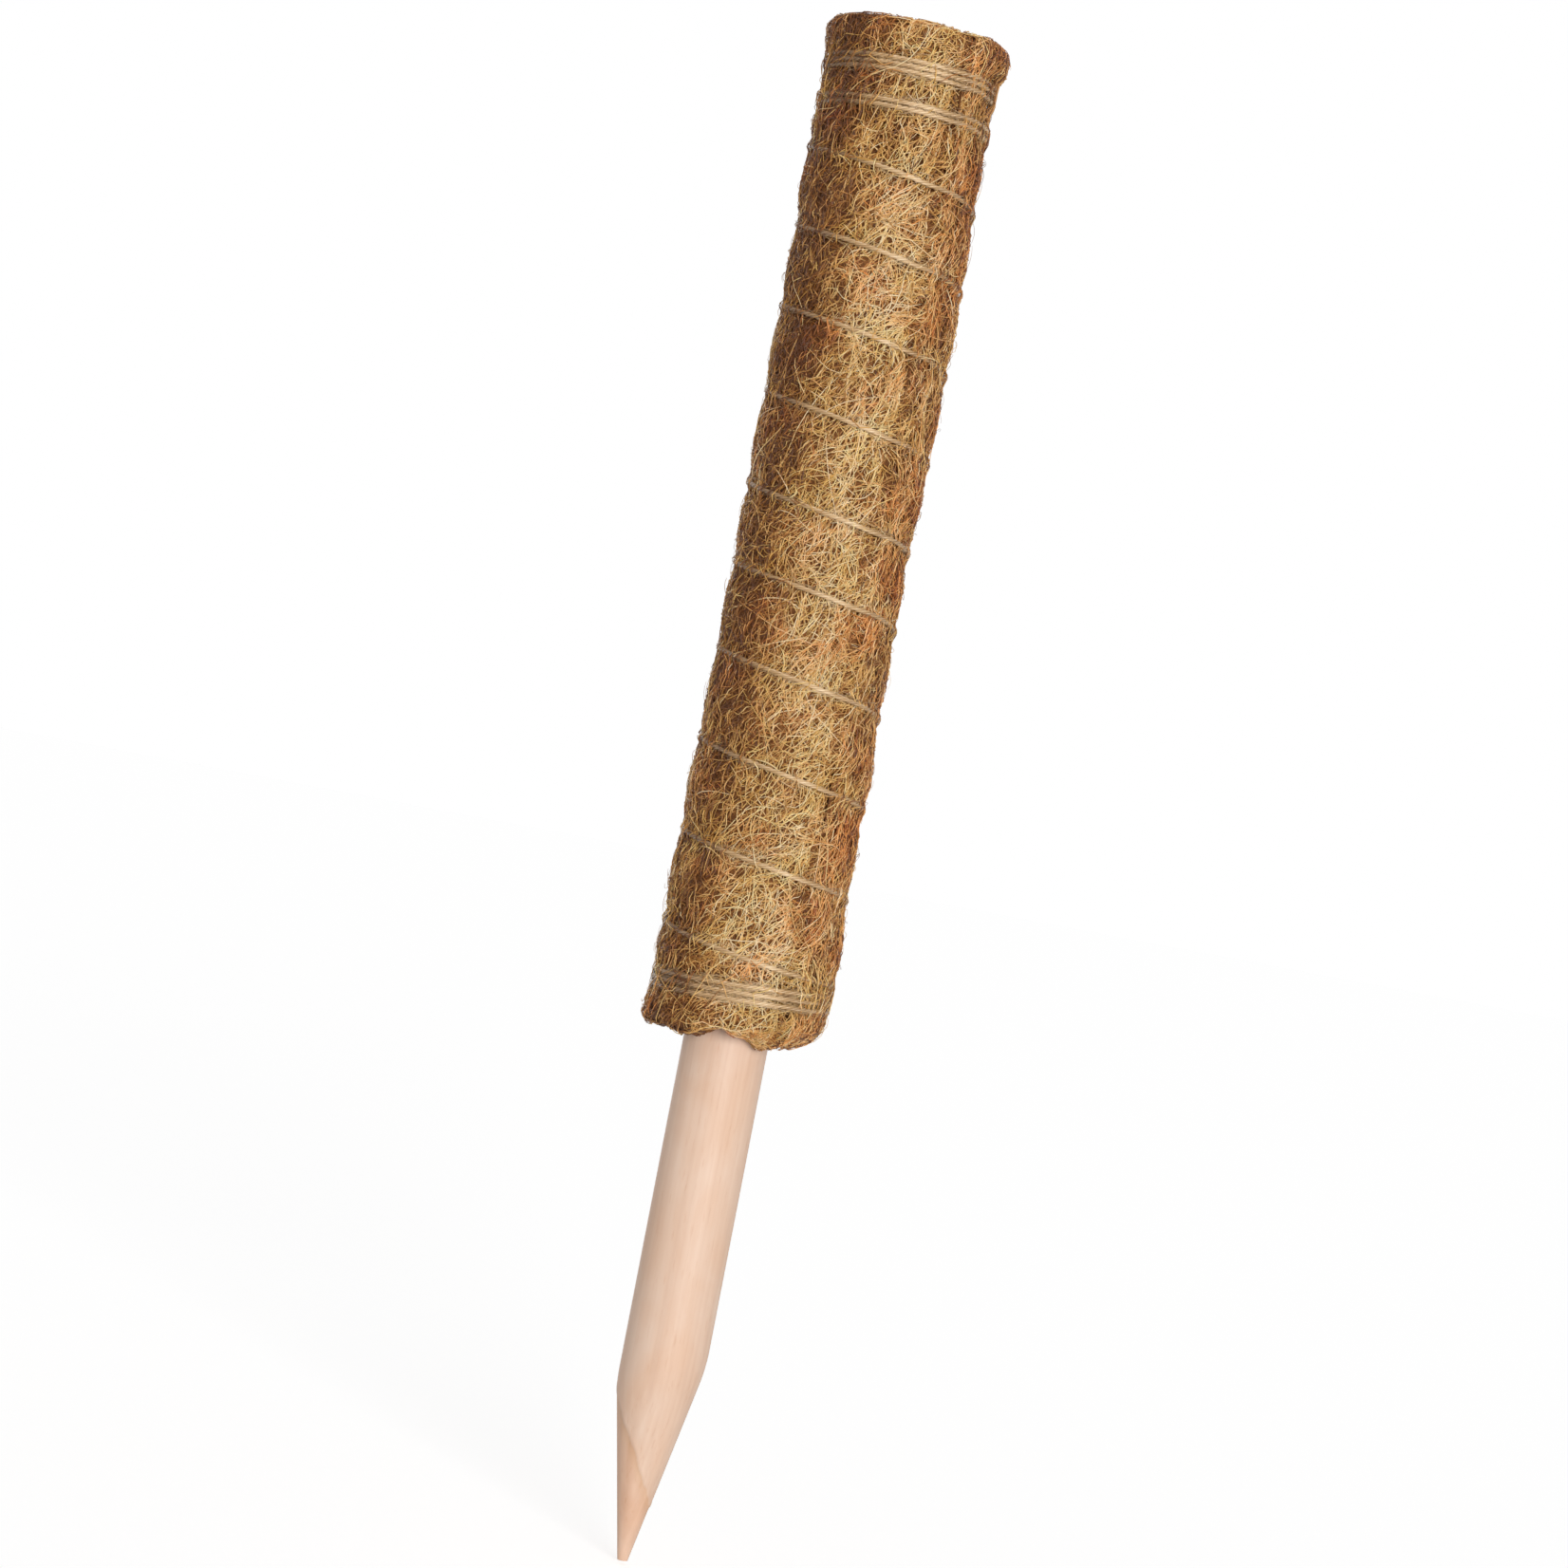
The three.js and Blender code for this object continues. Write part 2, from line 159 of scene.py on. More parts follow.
def multiply(tree, first, second, share=None):
    """One colour multiplied by another, all over or by a share that changes over the surface."""
    made = node(tree, "Mix")
    made.data_type, made.blend_type = "RGBA", "MULTIPLY"
    made.inputs[0].default_value = 1
    if share is not None:
        tree.links.new(share, made.inputs[0])
    tree.links.new(first, made.inputs[6])
    tree.links.new(second, made.inputs[7])
    return made.outputs[2]


def streak_group():
    """Fine streaks that follow the piece, as in grain or matted fibre.
    Stretch is how many there are to a metre each way, and Waver is how much they wander."""
    group = bpy.data.node_groups.new("streaks", "ShaderNodeTree")
    sockets = group.interface
    sockets.new_socket("Stretch", in_out="INPUT", socket_type="NodeSocketVector")
    sockets.new_socket("Waver", in_out="INPUT", socket_type="NodeSocketFloat")
    sockets.new_socket("Streak", in_out="OUTPUT", socket_type="NodeSocketFloat")
    start, end = group.nodes.new("NodeGroupInput"), group.nodes.new("NodeGroupOutput")
    stretch = node(group, "VectorMath")
    stretch.operation = "MULTIPLY"
    noise = node(group, "TexNoise", Scale=1, Detail=4)
    link = group.links.new
    link(node(group, "TexCoord").outputs["Object"], stretch.inputs[0])
    link(start.outputs["Stretch"], stretch.inputs[1])
    link(stretch.outputs[0], noise.inputs["Vector"])
    link(start.outputs["Waver"], noise.inputs["Distortion"])
    link(noise.outputs["Fac"], end.inputs["Streak"])
    return group


streaks = streak_group()


def streak(tree, stretch, waver=0.0):
    made = node(tree, "Group")
    made.node_tree = streaks
    made.inputs["Stretch"].default_value = stretch
    made.inputs["Waver"].default_value = waver
    return made.outputs["Streak"]


def roughen(tree, bsdf, height, strength, depth):
    """Small bumps in the surface, this deep."""
    bump = node(tree, "Bump", Strength=strength, Distance=depth)
    tree.links.new(height, bump.inputs["Height"])
    tree.links.new(bump.outputs[0], bsdf.inputs["Normal"])


def growth_rings(tree):
    """Growth rings round a pith outside the dowel, and how much they show: most on the end grain."""
    pith = node(tree, "Mapping", Location=(0.0065, 0.0120, 0), Rotation=(0.012, -0.008, 0))
    tree.links.new(node(tree, "TexCoord").outputs["Object"], pith.inputs["Vector"])
    rings = node(tree, "TexWave", Scale=200, Distortion=3, Detail_Scale=0.03)
    rings.wave_type, rings.rings_direction, rings.wave_profile = "RINGS", "Z", "SAW"
    tree.links.new(pith.outputs[0], rings.inputs["Vector"])
    early, late = colour(252, 248, 243), colour(236, 218, 198)
    tint = ramp(tree, rings.outputs["Fac"], (0.35, early), (0.88, late), (1.0, early))
    facing = node(tree, "SeparateXYZ")
    tree.links.new(node(tree, "NewGeometry").outputs["Normal"], facing.inputs[0])
    end_grain = node(tree, "MapRange", From_Min=0.6, From_Max=0.95, To_Min=0.14)
    tree.links.new(facing.outputs[2], end_grain.inputs["Value"])
    return tint, end_grain.outputs[0]


def stake_finish():
    """Pale planed wood with grain, flecks and clouds, and a fresh cut on the point."""
    made, tree, bsdf = shader("stake_wood", Roughness=0.55)
    grain = streak(tree, (420, 420, 6), 0.2)
    dark, middle, pale = colour(227, 196, 174), colour(232, 202, 180), colour(236, 208, 187)
    wood = ramp(tree, grain, (0.30, dark), (0.50, middle), (0.72, pale))
    flecks = streak(tree, (1400, 1400, 160))
    wood = multiply(tree, wood, ramp(tree, flecks, (0.60, white), (0.78, colour(246, 236, 228))))
    wood = multiply(tree, wood, *growth_rings(tree))
    clouds = streak(tree, (90, 90, 40), 0.6)
    wood = multiply(tree, wood, ramp(tree, clouds, (0.35, colour(249, 240, 232)), (0.65, white)))
    fresh = node(tree, "Attribute")
    fresh.attribute_name = "fresh_cut"
    stops = (0.1, white), (0.45, colour(249, 239, 226)), (1.0, colour(255, 248, 243))
    wood = multiply(tree, wood, ramp(tree, fresh.outputs["Fac"], *stops))
    tree.links.new(wood, bsdf.inputs["Base Color"])
    roughen(tree, bsdf, streak(tree, (900, 900, 60)), 0.15, 0.0002)
    return made


def turned_stake():
    """The dowel's profile spun round its axis, with close rings where the point is cut."""
    cut_top = tip_z + cut_height
    profile = [(0, tip_z - 0.0002), (stake_radius * 0.5, tip_z - 0.0001)]
    profile += [(stake_radius, z) for z in np.linspace(tip_z, cut_top, 130)]
    profile += [(stake_radius, z) for z in np.linspace(cut_top + 0.004, stake_top - top_chamfer, 24)]
    profile += [(stake_radius - top_chamfer, stake_top), (0, stake_top)]
    shape = bmesh.new()
    line = [shape.verts.new((radius, 0, z)) for radius, z in profile]
    edges = [shape.edges.new(pair) for pair in zip(line, line[1:])]
    whole = {"cent": (0, 0, 0), "axis": (0, 0, 1), "angle": math.tau, "use_merge": True}
    bmesh.ops.spin(shape, geom=line + edges, steps=96, **whole)
    bmesh.ops.remove_doubles(shape, verts=shape.verts, dist=1e-6)
    bmesh.ops.recalc_face_normals(shape, faces=shape.faces)
    return shape


def sharpen(shape):
    """Cuts the dowel to a cone that stands left of its axis, and marks the fresh cut below the
    cutter's step, which is high on the left and low on the right."""
    fresh = shape.verts.layers.float.new("fresh_cut")
    flank = (stake_radius - tip_radius) / point_length
    for point in shape.verts:
        height = point.co.z - tip_z
        azimuth, reach = math.atan2(point.co.y, point.co.x), math.hypot(point.co.x, point.co.y)
        cone = tip_radius + flank * max(height, 0)
        chatter = 0.0004 * math.sin(7 * azimuth) + 0.0003 * math.sin(17 * azimuth)
        above = height - step_height + step_slant * cone * math.cos(azimuth) + chatter
        below = 1 - float(smooth(above / step_blur + 0.5))
        point[fresh] = below * (0.45 + 0.55 * float(smooth(-above / fresh_fade)))
        cone += lip_height * swell(above, step_blur / 2, lip_width) - step_depth * below
        sideways = tip_drift * math.sin(azimuth)
        cut = tip_drift * math.cos(azimuth) + math.sqrt(max(cone**2 - sideways**2, 0))
        softened = max(shoulder_soft - abs(cut - stake_radius), 0) ** 2 / shoulder_soft / 4
        share = 1 if height > cut_height + 0.002 else (min(cut, stake_radius) - softened) / stake_radius
        drift = tip_drift if height <= 0 and reach < 1e-5 else 0
        point.co.x = point.co.x * share + drift - lean * max(0, lean_from - point.co.z)
        point.co.y *= share


shape = turned_stake()
sharpen(shape)
for face in shape.faces:
    face.smooth = True
for edge in shape.edges:
    edge.smooth = edge.calc_face_angle(0) < math.radians(30)
piece("stake", to_mesh(shape, "stake"), stake_finish(), ["wooden_stake"])

# Staples
# Five wire staples through the mat's inner edge into the stake, driven before the mat is rolled up.
# They are bright drawn steel, and the roll covers them.
staple_count = 5


def staple_finish():
    """Drawn steel wire, brighter and smoother in places."""
    made, tree, bsdf = shader("staple_wire", Metallic=1.0)
    drawn = streak(tree, (2500, 2500, 400))
    steel = ramp(tree, drawn, (0.3, colour(150, 152, 155)), (0.7, colour(205, 207, 210)))
    tree.links.new(steel, bsdf.inputs["Base Color"])
    worn = node(tree, "MapRange", To_Min=0.25, To_Max=0.5)
    tree.links.new(streak(tree, (900, 900, 900)), worn.inputs["Value"])
    tree.links.new(worn.outputs[0], bsdf.inputs["Roughness"])
    return made


staple_wire = staple_finish()
for number in range(1, staple_count + 1):
    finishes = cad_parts[f"mat_staple_{number}"].data.materials
    finishes.clear()
    finishes.append(staple_wire)

# Coir mat
# A needled mat of coconut fibre, cut to length and rolled round the stake in two turns and a lap.
# This is its dense brown inside, pressed in by the twine. The fibres on its face are the next pieces.
roll_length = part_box("coir_mat")[1][2]
mat_radius, mean_radius = 0.0215, 0.0222  # of the roll without its lap, and on the whole
face_depth = 0.00025  # the face lies this much deeper, to leave room for its fibres
seam = math.radians(-48)
lap_thickness, lap_share, lap_fade = 0.0023, 0.25, 1 / 12  # the last two in turns
crack_width = 1.8  # degrees
bite_depth, bite_reach, seam_bite = 0.0015, 0.004, 0.00095
lower_spread, lower_spread_length = 0.001, 0.09
lap_flare, rim_flare, flare_reach = 0.65, 0.0006, 0.004
edge_round, upper_corner, lower_corner = 0.0022, 0.0018, 0.0085  # the right corners are rounder
inside_rim = 0.002  # how far inside a rim its radius is taken
face_inset, seam_inset, lower_inset, upper_inset = 0.0005, 0.0006, 0.0007, 0.0009  # under the fibres

# The twine's passes across the front of the roll, from the top down, with its hand-wound turns uneven.
close_pitch, last_pitch = 0.00145, 0.00185
first_drop, second_drop, helix_drop = 0.0105, 0.0213, 0.0385  # below the upper rim
helix_foot, last_rise = 0.0212, 0.0104  # above the lower rim
hand_stray = np.array([0, 2, 3.3, 3.2, 1.6, 4.1, 3.9, 2.6, 1.4, 0]) / 1000
passes = [roll_length - first_drop - turn * close_pitch for turn in range(3)]
passes += [roll_length - second_drop - turn * close_pitch for turn in range(2)]
helix_start = len(passes)
passes += list(np.linspace(roll_length - helix_drop, helix_foot, len(hand_stray)) + hand_stray)
helix_end = len(passes) - 1
passes += [last_rise + turn * last_pitch for turn in (2, 1, 0)]
last_pass = len(passes) - 1
end_drop = 0.0075  # for each turn past the first and last pass
last_slant = 0.001  # the last close turns lie this much higher at the right


def pass_height(number):
    """The twine's height where it crosses the front, counted from the top."""
    inside = np.take(passes, np.clip(number, 0, last_pass))
    return inside - end_drop * (np.minimum(number, 0) + np.maximum(number - last_pass, 0))


def pass_slope(number):
    """Its slope there: close turns keep their even pitch, and the open helix its steeper one."""
    before = pass_height(number) - pass_height(number - 1)
    after = pass_height(number + 1) - pass_height(number)
    close = (number < helix_start) | (number > helix_end)
    return np.where(close, np.maximum(before, after), np.minimum(before, after))


def twine_height(turns):
    """A smooth line through the passes."""
    number = np.floor(turns).astype(int)
    past = turns - number
    here, after = pass_height(number), pass_height(number + 1)
    slope, slope_after = pass_slope(number), pass_slope(number + 1)
    bend = 3 * (after - here) - 2 * slope - slope_after
    twist = 2 * (here - after) + slope + slope_after
    slant = last_slant * smooth(turns - helix_end) * np.sin(math.tau * turns)
    return here + past * (slope + past * (bend + past * twist)) + slant


def above_twine(azimuth, z):
    """Height above the nearest strand of the twine."""
    share = np.mod(azimuth + math.pi / 2, math.tau) / math.tau
    nearest = np.ones(np.shape(azimuth))
    for number in range(-1, last_pass + 1):
        turns = share + number
        gap = np.where((turns < -0.5) | (turns > last_pass + 0.5), 1, z - twine_height(turns))
        nearest = np.where(np.abs(gap) < np.abs(nearest), gap, nearest)
    return nearest


def from_front(azimuth):
    """Degrees round the roll from its front, to the right."""
    return np.mod(np.degrees(azimuth) + 270, 360) - 180


def from_seam(azimuth):
    """How far round from the mat's free edge, as a share of a whole turn."""
    return np.mod(azimuth - seam, math.tau) / math.tau


def beside_seam(azimuth):
    """The same, from -0.5 to 0.5."""
    return np.mod(from_seam(azimuth) + 0.5, 1) - 0.5


def edge_stray(z):
    """How far the teased free edge wanders round the roll along its length."""
    return math.radians(2.5) * np.sin(z * 61 + 1) + math.radians(1.5) * np.sin(z * 173)


def lap_height(azimuth, z, soft=0.034):
    """How far the face stands out where the mat laps over itself, after a step of so much of a turn."""
    around = from_seam(azimuth + edge_stray(z) + math.pi * soft) - soft / 2
    rise, fall = smooth((around + soft / 2) / soft), smooth((around - lap_share) / lap_fade)
    return lap_thickness * rise * (1 - fall)


def seam_crack(azimuth, z):
    """How deep in the crack beside the free edge a place is, from 0 to 1."""
    return swell(beside_seam(azimuth + edge_stray(z) + math.radians(4)) * 360, 0, crack_width)


def padding(azimuth, z):
    """How much fuller the hand-rolled mat is in places on its right and left."""
    right_places = (10, 22, 36, 58, 69, 80, 110, 126, 140, 152, 194, 212, 225)
    right = (0, 0.8, 0.1, 0, 0.8, 0.1, 0, -0.3, 0.1, 0.5, 0.9, 0.4, 0)
    left_places, left = (30, 58, 74, 90, 205, 225, 262), (0, 0.3, 0.3, 0, 0, 0.6, 0.7)
    sideways, up = np.cos(azimuth), 1000 * z
    full = np.where(sideways > 0, np.interp(up, right_places, right), np.interp(up, left_places, left))
    return 0.001 * full * smooth(np.abs(sideways))


def lower_fullness(z):
    """How much fuller the roll's loose lower end is."""
    return lower_spread * smooth(1 - z / lower_spread_length)


def wound_radius(azimuth, z):
    """The groove in the roll's face that the twine lies in, shallow where it crosses the free edge."""
    bite = bite_depth + (seam_bite - bite_depth) * swell(beside_seam(azimuth), 0, 0.05)
    return mat_radius + lap_height(azimuth, z, 0.05) + lower_fullness(z) - bite


def hem(azimuth):
    """How far the hand-cut lower edge of the mat rises and falls round the roll, left, front and right."""
    around = (-180, -165, -135, -120, -105, -90, -48, -36, -25, -14, -4, 5)
    rises = (1.0, -0.4, -0.4, 0.9, -0.2, 0.0, 0.4, -0.8, 0.2, 2.2, 2.9, 1.4)
    around += (15, 22, 30, 38, 48, 61, 75, 90, 120, 150, 165, 180)
    rises += (1.4, 0.7, -0.6, -1.5, -0.2, -0.5, 0.2, -0.6, 0.7, -0.5, -0.3, 1.0)
    return 0.001 * np.interp(from_front(azimuth), around, rises)


def rounding(azimuth):
    """How much the roll's upper and lower edges are rounded off: most on the right, at the lap's corners."""
    right = smooth(0.25 + 0.8 * np.cos(azimuth))
    return edge_round + upper_corner * right, edge_round + lower_corner * right


def fall_away(turn, past):
    """How far an edge of this rounding has fallen away, so far past the place where it starts."""
    return turn * (1 - np.sqrt(1 - np.clip(past / turn, 0, 1) ** 2))


def full_radius(azimuth, z):
    """The roll's outer face without its rounded edges: raised at the lap, pressed in along the twine
    and spread at both ends."""
    lap = lap_height(azimuth, z)
    above, below = smooth((z - passes[0]) / flare_reach), smooth((passes[-1] - z) / flare_reach)
    flare = lap_flare * above * lap + rim_flare * (above + below)
    bite = bite_depth * np.exp(-np.abs(above_twine(azimuth, z)) / bite_reach)
    return mat_radius - face_depth + lap + lower_fullness(z) + padding(azimuth, z) + flare - bite


def face_radius(azimuth, z):
    """The roll's outer face with its rounded edges."""
    radius = full_radius(azimuth, z)
    for end, turn in zip((roll_length - z, z - hem(azimuth)), rounding(azimuth)):
        radius = radius - fall_away(turn, turn - end)
    return radius


def edge_lift(azimuth, radius, upper):
    """How far inside an end of the roll its rounded edge lies at a radius."""
    turn = rounding(azimuth)[0 if upper else 1]
    end = roll_length - inside_rim if upper else inside_rim
    lift = fall_away(turn, radius - full_radius(azimuth, np.full(np.shape(azimuth), end)) + turn)
    return lift if upper else lift + hem(azimuth)


def mat_finish():
    """Matted brown fibre, too fine to tell apart, darker than the face fibres: painted shade in the gaps
    between them.
    """
    made, tree, bsdf = shader("coir_inside", Roughness=0.9)
    matted = streak(tree, (2400, 2400, 1000), 1.5)
    brown = ramp(tree, matted, (0.32, colour(66, 34, 10)), (0.68, colour(152, 97, 46)))
    tree.links.new(brown, bsdf.inputs["Base Color"])
    roughen(tree, bsdf, streak(tree, (2800, 2800, 1200), 1.0), 0.8, 0.0004)
    return made


def pressed_mat():
    """The mat's solid, with its ends and its outer face drawn in under the fibres."""
    shape = bmesh.new()
    shape.from_mesh(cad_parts["coir_mat"].data)
    bmesh.ops.remove_doubles(shape, verts=shape.verts, dist=1e-6)
    place = np.array([point.co for point in shape.verts])
    azimuth, reach = np.arctan2(place[:, 1], place[:, 0]), np.hypot(place[:, 0], place[:, 1])
    lowest = edge_lift(azimuth, reach, False) + lower_inset
    highest = roll_length - edge_lift(azimuth, reach, True) - upper_inset
    place[:, 2] = np.clip(place[:, 2], lowest, highest)
    inset = face_inset + seam_inset * swell(beside_seam(azimuth), 0, 1 / 30)
    on_face = reach > mat_radius - 0.0025
    most = np.where(on_face, face_radius(azimuth, place[:, 2]) - inset, reach)
    place[:, :2] *= np.minimum(1, most / reach)[:, None]
    for point, moved in zip(shape.verts, place):
        point.co = moved
    return shape


mat_mesh = to_mesh(pressed_mat(), "coir_mat_inside")
mat = piece("coir_mat_inside", mat_mesh, mat_finish(), ["coir_mat"])

# Coir fibres
# Stiff brown coconut fibres, about a quarter of a millimetre thick, that lie all ways on the mat's face.
# The twine presses them into its grooves, and the cut ends of the roll fray out.
rng = np.random.default_rng(21)
hue_cells, tone_cells = 8, 32  # of the colour chart
fibre_sides = 4
most_in_a_piece = 5000
mat_steps, turn_steps = 54, 24  # steps along the rolled mat, in all and to a turn
first_radius, turn_gap = 0.0113, 0.0004
edge_thickness, full_thickness, feather_steps = 0.0019, 0.0049, 6


def charted(tree):
    """How far across and up the colour chart a place on a strand lies."""
    chart = node(tree, "UVMap")
    chart.uv_map = "OFBake"
    place = node(tree, "SeparateXYZ")
    tree.links.new(chart.outputs[0], place.inputs[0])
    return place.outputs[0], place.outputs[1]


def fibre_finish():
    """Slightly shiny coir, from dark brown to straw, and from greenish to ruddy."""
    made, tree, bsdf = shader("coir_fibre", Roughness=0.4, Specular_IOR_Level=0.5)
    across, up = charted(tree)
    browns = colour(94, 52, 17), colour(168, 109, 50), colour(224, 173, 103)
    straws = colour(243, 206, 146), colour(252, 231, 191)
    tone = ramp(tree, up, *zip((0.0, 0.25, 0.5, 0.75, 1.0), browns + straws))
    greenish, reddish = colour(250, 247, 212), colour(255, 211, 167)
    hue = ramp(tree, across, (0.0, greenish), (0.5, white), (1.0, reddish))
    tree.links.new(multiply(tree, tone, hue), bsdf.inputs["Base Color"])
    return made


def strands(name, lines, widths, sides, tones, hues, material, stands_for=()):
    """One piece of many strands: points and half-widths for each, and the tone of each of its steps
    and the hue of the strand, which give their places in the colour chart."""
    curve = bpy.data.curves.new(name, "CURVE")
    curve.dimensions = "3D"
    curve.bevel_depth = 1
    curve.bevel_resolution = sides // 2 - 2
    curve.fill_mode = "FULL"
    for line, width in zip(lines, widths):
        spline = curve.splines.new("POLY")
        spline.points.add(len(line) - 1)
        spline.points.foreach_set("co", np.c_[line, np.ones(len(line))].ravel())
        spline.points.foreach_set("radius", np.ascontiguousarray(width))
    carrier = bpy.data.objects.new(name + "_line", curve)
    mesh = bpy.data.meshes.new_from_object(carrier)
    mesh.name = name
    bpy.data.objects.remove(carrier)
    bpy.data.curves.remove(curve)
    shape = bmesh.new()
    shape.from_mesh(mesh)
    bmesh.ops.holes_fill(shape, edges=shape.edges, sides=sides)
    shape.to_mesh(mesh)
    shape.free()

    corner = np.zeros(len(mesh.loops), int)
    first, size = np.zeros((2, len(mesh.polygons)), int)
    mesh.loops.foreach_get("vertex_index", corner)
    mesh.polygons.foreach_get("loop_start", first)
    mesh.polygons.foreach_get("loop_total", size)
    ring, round_it = corner // sides, corner % sides
    start = np.repeat(np.minimum.reduceat(ring, first), size)
    count = len(lines[0])
    strand, step = start // count, np.minimum(start % count, count - 2)
    hue_cell = (hues.clip(0.02, 0.98) * hue_cells).astype(int)[strand]
    tone_cell = (tones.clip(0.02, 0.98) * tone_cells).astype(int)[strand, step]
    across = (hue_cell + 0.15 + 0.7 * round_it / (sides - 1)) / hue_cells
    up = (tone_cell + 0.15 + 0.7 * (ring - start)) / tone_cells
    chart = mesh.uv_layers.new(name="OFBake")
    chart.data.foreach_set("uv", np.c_[across, up].astype(np.float32).ravel())
    mesh.polygons.foreach_set("use_smooth", np.ones(len(mesh.polygons), bool))
    return piece(name, mesh, material, stands_for)


def round_roll(radius, azimuth, z):
    """Points at these places round the pole's axis."""
    return np.stack([radius * np.cos(azimuth), radius * np.sin(azimuth), z], -1)


def steps_between(values):
    return (values[:, 1:] + values[:, :-1]) / 2


def wander(length, steps, heading, curl):
    """Curved lines on a flat sheet, for fibres of those lengths and headings: how far across and up
    each step is from its middle."""
    each = len(length), 1
    part_way = np.linspace(-0.5, 0.5, steps)
    bend, sway = curl * rng.normal(size=each), 0.5 * curl * rng.normal(size=each)
    swing = sway * np.sin(math.tau * (part_way + rng.uniform(0, 1, each)))
    angle = heading[:, None] + bend * part_way + swing
    pace = (length / (steps - 1))[:, None]
    across, up = np.cumsum(np.cos(angle) * pace, 1), np.cumsum(np.sin(angle) * pace, 1)
    return across - across.mean(1, keepdims=True), up - up.mean(1, keepdims=True)


def patches(azimuth, z, seed, fineness=1):
    """Slow changes over the face of the mat, from about -1 to 1."""
    waves = np.random.default_rng(seed)
    total = 0
    for _ in range(7):
        round_it, along = waves.integers(1, 7), waves.uniform(-420, 420)
        total = total + np.sin(fineness * (round_it * azimuth + along * z) + waves.uniform(0, math.tau))
    return total / 3


def mat_tone_and_painted_light(azimuth, z):
    """How much paler or darker the mat is in places: darker left of the front, partly its own brown and
    partly painted shade on the side away from the light, a painted highlight just right of the front, darker
    on the lap, pale lower down, palest above the last close turns, painted shade in the crack beside the
    free edge, and mottled all over."""
    around = from_front(azimuth)
    # Left of the front the mat's own darker brown carries painted shade too, and just right of the front
    # lies a painted highlight.
    places = (-130, -75, -45, -32, -15, 0, 20, 38, 48, 75, 100, 140)
    shade_and_tone_lanes = (0, -0.36, -0.48, -0.36, -0.10, 0.03, 0.08, 0.05, -0.15, -0.35, -0.16, 0)
    tone = np.interp(around, places, shade_and_tone_lanes)
    tone = tone + np.interp(z, (0.0, 0.04, 0.08, 0.20, 0.22), (0.07, 0.05, 0.01, 0.0, -0.08))
    tone = tone + 0.12 * swell(around, 0, 20) * swell(z, 0.020, 0.011)
    mottle = patches(azimuth, z, 3) + patches(azimuth, z, 4, 3)
    # The crack beside the free edge is darkened with painted shade.
    return tone + 0.06 * mottle - 0.40 * seam_crack(azimuth, z)


def face_fibres(count, steps, length, heights, width, tone, between=(-math.pi, math.pi)):
    """Fibres on the roll's face, dipping in and out of the mat: their lines, half-widths and colours.
    Lengths, heights above the face and half-widths are given as the least and the most."""
    each = count, 1
    part_way = np.linspace(0, 1, steps)
    to_end = 2 * np.abs(part_way - 0.5)

    # Most fibres lie along the mat's comb, and most of all at its teased free edge.
    azimuth = rng.uniform(*between, count)
    z = rng.uniform(-0.002, roll_length + 0.002, count)
    lapped = from_seam(azimuth) < 0.27
    crossing = np.where(lapped, 0.33, np.where(np.abs(from_front(azimuth) + 50) < 30, 0.25, 0.06))
    teased = swell(from_seam(azimuth), 0, 0.05)
    combed = np.where(lapped, 1.3, 1.0) + 0.35 * patches(azimuth, z, 7) + 0.2 * teased
    follows = rng.uniform(size=count) < 0.55 + 0.35 * teased
    combed += (0.45 - 0.25 * teased) * rng.normal(size=count)
    heading = np.where(follows, combed, rng.uniform(0, math.pi, count))
    across, up = wander(rng.uniform(*length, count), steps, heading, 0.65)
    azimuth = azimuth[:, None] + across / mean_radius
    fray = 0.0010 * rng.uniform(0, 1, each) ** 5
    z = np.clip(z[:, None] + up, hem(azimuth) + 0.0003 - fray, roll_length - 0.0006 + fray)

    # Where the twine binds it, the mat is paler just above it; just below it painted light lifts the twine's
    # shadow, and a little lower lies a painted shadow.
    away = above_twine(azimuth, z)
    near, bound = swell(away, 0, 0.0014), swell(away, 0.0015, 0.0025)
    under, shade = swell(away, -0.0012, 0.0008), swell(away, -0.0027, 0.0010)
    tones = tone + 0.20 * rng.normal(size=each) + 0.09 * rng.normal(size=(count, steps))
    tones = tones + mat_tone_and_painted_light(azimuth, z) + 0.09 * bound + 0.12 * under - 0.08 * shade
    hues = 0.42 + 0.17 * rng.normal(size=each) - 0.35 * bound + 0.25 * lapped[:, None]
    hues = hues + 0.34 * patches(azimuth, z, 5) + 0.20 * patches(azimuth, z, 6, 3)
    hues = hues + 0.06 * smooth((z - 0.19) / 0.03)

    # A fibre goes over the twine or is pressed down by it.
    height = rng.uniform(*heights, each)
    waves = part_way * rng.uniform(0.8, 2.2, each) + rng.uniform(0, 1, each)
    height = height + 0.0003 * (np.sin(math.tau * waves) - to_end**4) - 0.0006 * seam_crack(azimuth, z)
    over = rng.uniform(size=each) < crossing[:, None]
    lifted, pressed = height * (1 - near) + 0.0017 * near, np.minimum(height + 0.0004 * near, 0.0006)
    face = face_radius(azimuth, np.clip(z, hem(azimuth) + 0.0002, roll_length - 0.0002))
    widths = rng.uniform(*width, each) * (1 - 0.7 * to_end**3)
    lines = round_roll(face + np.where(over, lifted, pressed), azimuth, z)
    return lines, widths, steps_between(tones), hues.mean(1)


def mat_layer(step):
    """The mat's inner radius and thickness at a step along it from its inner edge."""
    grown = smooth(np.minimum(step, mat_steps - step) / feather_steps)
    thickness = edge_thickness + (full_thickness - edge_thickness) * grown
    first = first_radius + (edge_thickness + turn_gap) * smooth((step - turn_steps + 2) / 2)
    if np.any(step >= turn_steps):
        inside, under = mat_layer(np.maximum(step - turn_steps, 0))
        first = np.where(step >= turn_steps, inside + under + turn_gap, first)
    return first, thickness


